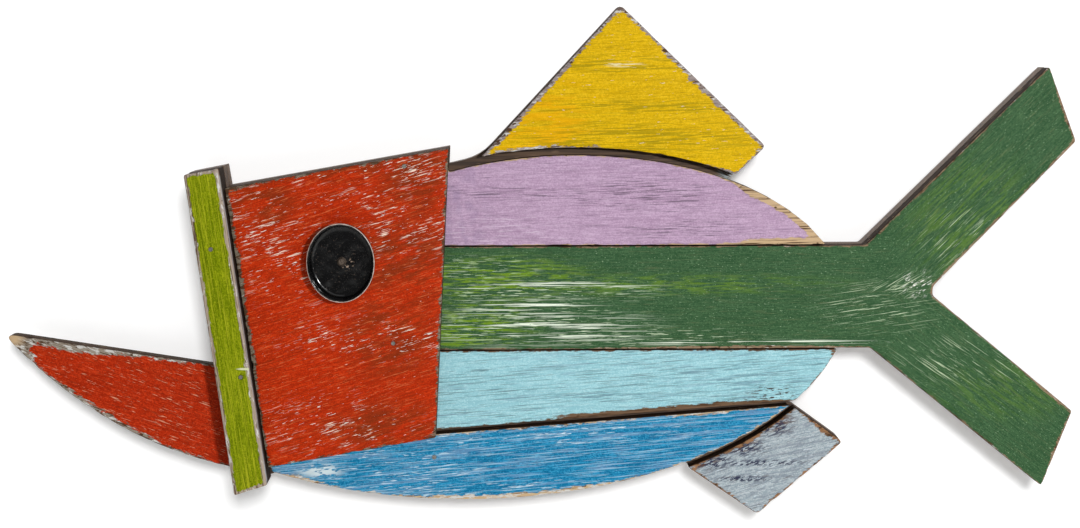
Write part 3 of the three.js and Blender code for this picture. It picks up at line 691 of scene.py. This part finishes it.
def fin_yellow():
    tones = (srgb(190, 152, 0), srgb(218, 176, 0), srgb(230, 190, 30))
    wood = (srgb(150, 138, 136), 0.55, 0.4)

    def sloping_edges(coats):
        left = coats.patch(-12, 112, 48, 44, soft=0.3)
        root = coats.patch(50, 86, 90, 9)
        right = coats.patch(126, 126, 46, 40, soft=0.3)
        slopes = coats.math("MULTIPLY", coats.any_of(left, right), 1.1)
        return coats.math("SUBTRACT", slopes, coats.math("MULTIPLY", root, 2.2))

    coats = painted("fin_paint", 2, tones, wood, 1.8, 6.0, sloping_edges)
    orange = coats.step(coats.grain(coats.along, 34, 4, shift=171, detail=4), 0.47, 0.6)
    orange = coats.all_of(orange, coats.patch(-2, 106, 40, 22), 0.6, coats.kept)
    coats.coat(orange, srgb(232, 166, 0))
    olive_rows = coats.ovals((50, 141, 50, 5), (50, 97, 80, 9), (60, 116, 70, 4))
    coats.coat(coats.all_of(marks(coats, 26, 1.1, 0.21, 181, olive_rows), 0.65), srgb(146, 130, 8))
    coats.coat(coats.all_of(marks(coats, 18, 0.7, 0.11, 187), 0.5), srgb(146, 124, 8))
    coats.coat(marks(coats, 6, 0.9, 0.03, 191), srgb(228, 214, 176), lift=THIN_LIFT)
    dash = coats.all_of(marks(coats, 12, 0.6, 0.24, 193), coats.patch(48, 141, 11, 1.6, soft=0.4))
    coats.coat(dash, srgb(226, 212, 160), lift=THIN_LIFT)
    sides(coats)
    return coats.finish()


def body_lilac():
    tones = (srgb(164, 134, 162), srgb(186, 158, 185), srgb(200, 172, 198))

    def slope(coats):
        return coats.math("MULTIPLY", coats.patch(150, 52, 40, 26, soft=0.3), 3.6)

    coats = painted("upper_body_paint", 1, tones, (TAN, 0.1, 0.25), 0.5, 3.0, slope)
    # Painted shade: darker bluish-grey streaks on the lilac just right of the raised head panel.
    painted_shade = coats.step(coats.grain(coats.along, 9, 14, shift=197), 0.45, 0.62)
    painted_shade = coats.all_of(painted_shade, coats.kept, coats.patch(-50, 52, 14, 30), 0.3)
    coats.coat(painted_shade, srgb(132, 116, 150))
    grainy = coats.any_of(coats.ovals((62, 63, 44, 10), (84, 42, 36, 6), (-10, 64, 50, 4)), 0.25)
    coats.coat(coats.all_of(marks(coats, 20, 0.5, 0.18, 201, grainy), 0.8), srgb(98, 82, 98))
    coats.coat(coats.all_of(marks(coats, 30, 0.5, 0.08, 203), 0.7), srgb(104, 92, 106))
    pale = marks(coats, 16, 0.6, 0.12, 205, coats.patch(-30, 42, 40, 12))
    coats.coat(coats.all_of(pale, 0.7), srgb(216, 200, 216))
    sides(coats)
    return coats.finish()


ARMS_START = 243         # mm, the X where the tail's strokes turn into its arms
ARMS_PART = 11           # mm, the height where the two arms part
UPPER_ARM_RISE = 44      # degrees
LOWER_ARM_RISE = -36


def arm_strokes(coats):
    """On the tail, strokes follow the middle board and then each arm."""
    ragged = coats.math("MULTIPLY", coats.grain(coats.place, 12, 3, shift=209), 60)
    beyond = coats.step(coats.math("ADD", coats.axis("X"), ragged), ARMS_START, ARMS_START + 1)
    height = coats.math("ADD", coats.axis("Z"), coats.math("MULTIPLY", ragged, 0.3))
    upper = coats.all_of(beyond, coats.step(height, ARMS_PART, ARMS_PART + 1))
    lower = coats.all_of(beyond, coats.step(height, ARMS_PART + 1, ARMS_PART))
    along = coats.mix(upper, coats.along, coats.turned(UPPER_ARM_RISE), "VECTOR")
    return coats.mix(lower, along, coats.turned(LOWER_ARM_RISE), "VECTOR")


def body_green():
    tones = (srgb(42, 76, 46), srgb(57, 91, 59), srgb(74, 106, 71))
    wood = (srgb(142, 120, 96), 0.3, 0.5)

    def fork_edges(coats):
        return coats.ovals(
            (268, 34, 52, 44), (318, 96, 16, 40), (318, -70, 16, 40), (120, -31, 70, 2),
        )

    coats = painted("tail_paint", 0, tones, wood, 0.6, 3.5, fork_edges, arm_strokes)
    lime = coats.grain(coats.along, 16, 1.6, shift=211, detail=5, roughness=0.7)
    limed = coats.any_of(
        coats.ovals((-46, -18, 34, 16), (-30, 12, 50, 12)),
        coats.all_of(coats.patch(70, 8, 90, 6), 0.5),
        coats.all_of(coats.patch(262, 46, 34, 34), 0.35),
        coats.all_of(coats.patch(284, -60, 40, 16), 0.25),
    )
    lime = coats.all_of(coats.step(lime, 0.46, 0.58), limed, 0.75, coats.kept)
    coats.coat(lime, srgb(122, 158, 20))
    coats.coat(coats.all_of(marks(coats, 16, 0.6, 0.11, 217), 0.4), srgb(104, 112, 78))
    streaked = coats.any_of(
        coats.ovals((0, 4, 60, 7), (-10, -16, 66, 11), (60, -24, 60, 5)),
        coats.all_of(coats.patch(-40, 18, 30, 8), 0.8),
    )
    coats.coat(marks(coats, 14, 0.6, 0.12, 221, streaked), srgb(214, 232, 196), lift=FLECK_LIFT)
    rows = coats.ovals((2, 7, 52, 3), (-8, -5, 34, 5), (-6, -18, 58, 10), (124, -28, 66, 1.5))
    long_marks = marks(coats, 60, 0.9, 0.165, 219, rows, soft=0.02)
    coats.coat(long_marks, srgb(232, 242, 222), lift=FLECK_LIFT)
    # An oval on the tail, and the direction of the scratches in it in degrees
    scratches = [
        ((206, -6, 30, 14), 8), ((222, 6, 20, 8), 30), ((258, 32, 22, 22), 44), ((268, -40, 44, 13), -34),
    ]
    for oval, angle in scratches:
        direction = coats.turned(angle)
        scratched = marks(coats, 24, 0.5, 0.1, 300 + angle, coats.patch(*oval), direction, soft=0.03)
        coats.coat(scratched, srgb(206, 222, 186), lift=THIN_LIFT)
    crossing = marks(coats, 5, 1.2, 0.14, 227, coats.patch(229, 8, 9, 7), coats.turned(35))
    coats.coat(crossing, WHITE, lift=THIN_LIFT)
    coats.coat(coats.all_of(marks(coats, 2, 0.7, 0.075, 229), 0.8), srgb(150, 176, 140))
    sides(coats, light=srgb(58, 43, 33))
    return coats.finish()


def body_aqua():
    tones = (srgb(136, 188, 198), srgb(156, 205, 213), srgb(178, 218, 224))
    wood = (srgb(112, 88, 68), 0.1, 0.4)

    def lower_edge(coats):
        return coats.math("MULTIPLY", coats.patch(50, -68, 116, 7, soft=0.3), 2.4)

    coats = painted("lower_body_paint", 4, tones, wood, 0.5, 3.5, lower_edge)
    coats.coat(coats.all_of(marks(coats, 26, 0.5, 0.14, 231), 0.75), srgb(88, 118, 126))
    coats.coat(coats.all_of(marks(coats, 30, 2.0, 0.13, 237), 0.35), srgb(126, 158, 176))
    streaked = coats.ovals((120, -48, 46, 14), (40, -62, 60, 4))
    coats.coat(coats.all_of(marks(coats, 16, 0.8, 0.17, 239, streaked), 0.6), srgb(92, 128, 142))
    chipped = coats.ovals((142, -60, 14, 5), (128, -66, 20, 3))
    coats.coat(marks(coats, 5, 1.2, 0.17, 235, chipped), srgb(64, 52, 46))
    sides(coats)
    return coats.finish()


def belly_blue():
    tones = (srgb(8, 96, 138), srgb(26, 131, 175), srgb(62, 160, 203))

    def worn_places(coats):
        low = coats.patch(30, -128, 110, 12, soft=0.3)
        front = coats.patch(-138, -108, 18, 6)
        return coats.math("MULTIPLY", coats.any_of(low, front), 2.0)

    coats = painted("belly_paint", 5, tones, (TAN, 0.7, 0.25), 0.7, 5.0, worn_places)
    coats.coat(coats.all_of(marks(coats, 50, 2.4, 0.17, 243), 0.45), srgb(126, 156, 190))
    streaks = coats.all_of(marks(coats, 36, 0.6, 0.16, 241), 0.65)
    coats.coat(streaks, srgb(160, 198, 220), lift=THIN_LIFT)
    busy = coats.ovals((-100, -106, 60, 16), (0, -122, 130, 8), (-20, -84, 110, 8))
    coats.coat(marks(coats, 12, 0.8, 0.11, 247, busy), srgb(206, 226, 236), lift=THIN_LIFT)
    coats.coat(coats.all_of(marks(coats, 12, 0.6, 0.1, 249), 0.5), srgb(26, 72, 104))
    front_end = marks(coats, 8, 2.2, 0.26, 271, coats.patch(-137, -107, 12, 4))
    coats.coat(front_end, srgb(206, 220, 224), lift=THIN_LIFT)
    sides(coats)
    return coats.finish()


def fin_grey():
    tones = (srgb(136, 150, 158), srgb(166, 178, 184), srgb(190, 198, 202))
    wood = (srgb(150, 112, 80), 0.2, 0.6)

    def corners(coats):
        root = coats.patch(112, -88, 40, 8, soft=0.5)
        heel = coats.patch(176, -78, 12, 10)
        return coats.math("ADD", root, coats.math("MULTIPLY", heel, 2.0))

    coats = painted("pelvic_paint", 14, tones, wood, 0.9, 6.0, corners)
    coats.coat(coats.all_of(marks(coats, 16, 1.6, 0.19, 251), 0.4), srgb(96, 104, 120))
    along_root = coats.ovals((97, -103, 12, 5), (118, -92, 14, 6), (142, -77, 12, 7))
    coats.coat(marks(coats, 9, 1.6, 0.24, 259, along_root), srgb(90, 64, 50))
    bruised = coats.ovals(
        (106, -102, 11, 6), (123, -93, 14, 7), (142, -81, 12, 6), (134, -104, 28, 2), (124, -114, 16, 2),
    )
    coats.coat(marks(coats, 5, 1.3, 0.23, 253, bruised, coats.turned(26)), srgb(54, 58, 80))
    coats.coat(coats.all_of(marks(coats, 12, 0.6, 0.11, 257), 0.6), srgb(104, 96, 96))
    coats.coat(coats.all_of(marks(coats, 8, 1.4, 0.08, 263), 0.6), srgb(210, 222, 230))
    sides(coats)
    return coats.finish()


def stained_panel():
    """Dark stain, with saw marks and rubbed places, and a pale smear on the panel's front."""
    coats = Coats("panel_stain")
    lines = coats.grain(coats.place, 70, 1.3, shift=301, detail=5, bend=0.5)
    coats.colour = coats.mix(coats.step(lines, 0.35, 0.65), srgb(58, 44, 35), srgb(104, 80, 60))
    rubbed = coats.step(coats.grain(coats.place, 16, 3, shift=307, detail=5), 0.55, 0.68)
    coats.coat(coats.all_of(rubbed, 0.55), srgb(136, 108, 84))
    smear = coats.step(coats.grain(coats.turned(-24), 9, 1.0, shift=311, detail=4), 0.44, 0.52)
    in_front = coats.step(coats.axis("Y"), -7, -8.5)    # the panel's front face is at -9
    coats.coat(coats.all_of(smear, coats.patch(122, 74, 12, 5), in_front), srgb(176, 196, 202))
    coats.height = coats.math("MULTIPLY", lines, 0.25)
    coats.roughness = 0.75
    return coats.finish()


def metal(name, colour, dull, roughness):
    """Plated or bare steel with small dull spots."""
    coats = Coats(name)
    spots = coats.clouds(0.5, shift=401, detail=4)
    coats.colour = coats.mix(coats.step(spots, 0.45, 0.65), colour, dull)
    coats.height = coats.math("MULTIPLY", spots, 0.03)
    dulled = coats.step(spots, 0.4, 0.7)
    coats.roughness = coats.mix(dulled, roughness, roughness + 0.25, "FLOAT")
    coats.shader.inputs["Metallic"].default_value = 1.0
    return coats.finish()


def enamel():
    """Glossy black, with specks of dust, and a pale line along the rim that is both metal rubbed through
    the enamel and a painted highlight.
    """
    coats = Coats("eye_enamel")
    dust = coats.clouds(0.8, shift=411, detail=4)
    coats.colour = coats.mix(coats.step(dust, 0.66, 0.74), srgb(6, 6, 7), srgb(120, 92, 70))
    specks = coats.step(coats.clouds(1.6, shift=415), 0.56, 0.64)
    coats.coat(coats.all_of(specks, coats.patch(-117, 23, 3, 3)), srgb(196, 172, 150))
    # The pale line along the rim's crest is partly metal rubbed through the enamel and partly a painted
    # highlight.
    uneven = coats.math("MULTIPLY", coats.clouds(3, shift=419), 0.5)
    rubbed = coats.math("ADD", coats.attribute("rim"), uneven)
    coats.coat(coats.step(rubbed, 1.0, 1.12), srgb(198, 180, 170))
    coats.height = coats.math("MULTIPLY", coats.clouds(6, shift=417), 0.1)
    coats.roughness = coats.mix(coats.step(dust, 0.5, 0.7), 0.14, 0.4, "FLOAT")
    coats.shader.inputs["Specular IOR Level"].default_value = 0.4
    return coats.finish()


def felt():
    coats = Coats("felt")
    fibres = coats.clouds(0.35, shift=421, detail=4)
    coats.colour = coats.mix(coats.step(fibres, 0.35, 0.65), srgb(44, 40, 37), srgb(78, 72, 66))
    coats.height = coats.math("MULTIPLY", fibres, 0.3)
    coats.roughness = 0.95
    return coats.finish()


def wear_material(piece, material):
    piece.data.materials.clear()
    piece.data.materials.append(material)


# --- Pieces -----------------------------------------------------------------------------------

BOARDS = [
    # piece, CAD node, material, slot, brads, rounding, chips
    ("upper_body", "upper_body_board", body_lilac, "lilac_paint", (), 0.7, 0.6),
    ("tail", "tail_board", body_green, "green_paint", (), 0.7, 0.6),
    ("lower_body", "lower_body_board", body_aqua, "aqua_paint", (), 0.7, 0.6),
    ("belly", "belly_board", belly_blue, "blue_paint", ("belly_brad_1",), 0.8, 0.9),
    ("back_fin", "dorsal_fin", fin_yellow, "yellow_paint", (), 1.0, 1.0),
    ("belly_fin", "pelvic_fin", fin_grey, "grey_paint", (), 0.9, 1.0),
    ("jaw", "jaw_board", jaw_red, "jaw_red_paint", (), 1.0, 1.0),
    ("head", "head_panel", head_red, "head_red_paint", ("head_brad_1", "head_brad_2"), 1.1, 1.0),
    ("slat", "gill_slat", slat_lime, "lime_paint", ("slat_brad_1", "slat_brad_2"), 1.1, 1.1),
]

for seed, (name, node, paint, slot, brads, rounding, chips) in enumerate(BOARDS):
    board = worn_board(name, node, [middle(brad) for brad in brads], rounding, chips, seed * 17)
    wear_material(board, paint())

stain = stained_panel()
brad_steel = metal("brad_steel", srgb(150, 148, 142), srgb(96, 88, 80), 0.4)
screw_steel = metal("screw_zinc", srgb(214, 211, 202), srgb(160, 155, 143), 0.3)
plated = metal("hanger_plate", srgb(200, 200, 202), srgb(150, 150, 150), 0.28)
nail_steel = metal("eye_nail_steel", srgb(110, 98, 88), srgb(50, 42, 38), 0.45)
felt_pad = felt()
eye = eye_dish()
wear_material(eye, enamel())

for seed, (name, node) in enumerate(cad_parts.items()):
    if "screw" in name:
        screw = cross_screw(name, seed)
        in_hanger = name.startswith("hanger")
        wear_material(screw, plated if in_hanger else screw_steel)
    elif name in ("back_panel", "slat_packer"):
        wear_material(node, stain)
    elif name.startswith("wall_bumper"):
        wear_material(node, felt_pad)
    elif name.startswith("hanger"):
        wear_material(node, plated)
    elif "brad" in name:
        wear_material(node, brad_steel)
    elif name == "eye_nail":
        wear_material(node, nail_steel)


# --- Studio -----------------------------------------------------------------------------------
# Everything here is in metres.

ROOM = 3                 # from the middle of the room to its sides
SQUARE = [(-ROOM, -ROOM), (ROOM, -ROOM), (ROOM, ROOM), (-ROOM, ROOM)]
WALL_Y = cad_box[1][1]
WALL_GLOW = 0.12
FLOOR_DROP = 0.35        # from the foot of the fish to the floor
FLOOR_Z = cad_box[0][2] - FLOOR_DROP
WORLD_LIGHT = 0.16
CAMERA_TARGET = Vector((-0.0018, -0.018, 0.021))
CAMERA_OFFSET = Vector((-0.024, -0.9, 0.127))


def plane(name, corners):
    mesh = bpy.data.meshes.new(name)
    mesh.from_pydata(corners, [], [(0, 1, 2, 3)])
    piece = bpy.data.objects.new(name, mesh)
    bpy.context.scene.collection.objects.link(piece)
    return piece


def wall_material():
    """A white wall that is only there from the front, so it never hides the back of the fish."""
    material = bpy.data.materials.new("wall_white")
    material.use_nodes = True
    tree = material.node_tree
    tree.nodes.clear()
    output = tree.nodes.new("ShaderNodeOutputMaterial")
    paint = tree.nodes.new("ShaderNodeBsdfDiffuse")
    paint.inputs["Color"].default_value = (0.93, 0.93, 0.93, 1)
    clear = tree.nodes.new("ShaderNodeBsdfTransparent")
    behind = tree.nodes.new("ShaderNodeNewGeometry")
    path = tree.nodes.new("ShaderNodeLightPath")
    glow = tree.nodes.new("ShaderNodeEmission")
    glow.inputs["Strength"].default_value = WALL_GLOW
    lit = tree.nodes.new("ShaderNodeAddShader")
    either = tree.nodes.new("ShaderNodeMath")
    either.operation = "MAXIMUM"
    mix = tree.nodes.new("ShaderNodeMixShader")
    tree.links.new(behind.outputs["Backfacing"], either.inputs[0])
    tree.links.new(path.outputs["Is Shadow Ray"], either.inputs[1])
    tree.links.new(either.outputs[0], mix.inputs[0])
    tree.links.new(paint.outputs[0], lit.inputs[0])
    tree.links.new(glow.outputs[0], lit.inputs[1])
    tree.links.new(lit.outputs[0], mix.inputs[1])
    tree.links.new(clear.outputs[0], mix.inputs[2])
    tree.links.new(mix.outputs[0], output.inputs[0])
    return material


def floor_material():
    material = bpy.data.materials.new("floor_pale")
    material.use_nodes = True
    shader = material.node_tree.nodes["Principled BSDF"]
    shader.inputs["Base Color"].default_value = (0.8, 0.8, 0.79, 1)
    shader.inputs["Roughness"].default_value = 0.9
    return material


wall = plane("wall", [(x, WALL_Y, z) for x, z in SQUARE])
wear_material(wall, wall_material())
floor = plane("floor", [(x, y, FLOOR_Z) for x, y in SQUARE])
wear_material(floor, floor_material())


def area_light(name, location, size, power):
    light = bpy.data.lights.new(name, "AREA")
    light.size = size
    light.energy = power
    lamp = bpy.data.objects.new(name, light)
    lamp.location = location
    lamp.rotation_euler = (-Vector(location)).to_track_quat("-Z", "Y").to_euler()
    bpy.context.scene.collection.objects.link(lamp)
    return lamp


def only_for(lamp, piece, state):
    """With state INCLUDE a lamp lights one piece alone, and with EXCLUDE all but that one."""
    group = bpy.data.collections.new(lamp.name + "_lights")
    group.objects.link(piece)
    group.collection_objects[0].light_linking.link_state = state
    lamp.light_linking.receiver_collection = group


key = area_light("key", location=(0.95, -2.1, 0.5), size=0.2, power=37)
area_light("soft_front", location=(0.3, -1.8, 1.6), size=1.6, power=6)
wall_light = area_light("wall_light", location=(0.25, -2.0, 0.85), size=0.55, power=38)
only_for(key, wall, "EXCLUDE")
only_for(wall_light, wall, "INCLUDE")
area_light("soft_back", location=(-0.4, 2.2, 1.2), size=1.6, power=22)

world = bpy.data.worlds.new("studio")
world.use_nodes = True
world.node_tree.nodes["Background"].inputs["Color"].default_value = (1, 1, 1, 1)
world.node_tree.nodes["Background"].inputs["Strength"].default_value = WORLD_LIGHT
bpy.context.scene.world = world
bpy.context.scene.view_settings.view_transform = "Standard"

lens = bpy.data.cameras.new("camera")
lens.lens = 50
lens.sensor_width = 36
camera = bpy.data.objects.new("camera", lens)
camera.location = CAMERA_TARGET + CAMERA_OFFSET
camera.rotation_euler = (CAMERA_TARGET - camera.location).to_track_quat("-Z", "Y").to_euler()
bpy.context.scene.collection.objects.link(camera)
bpy.context.scene.camera = camera

bpy.context.view_layer.update()
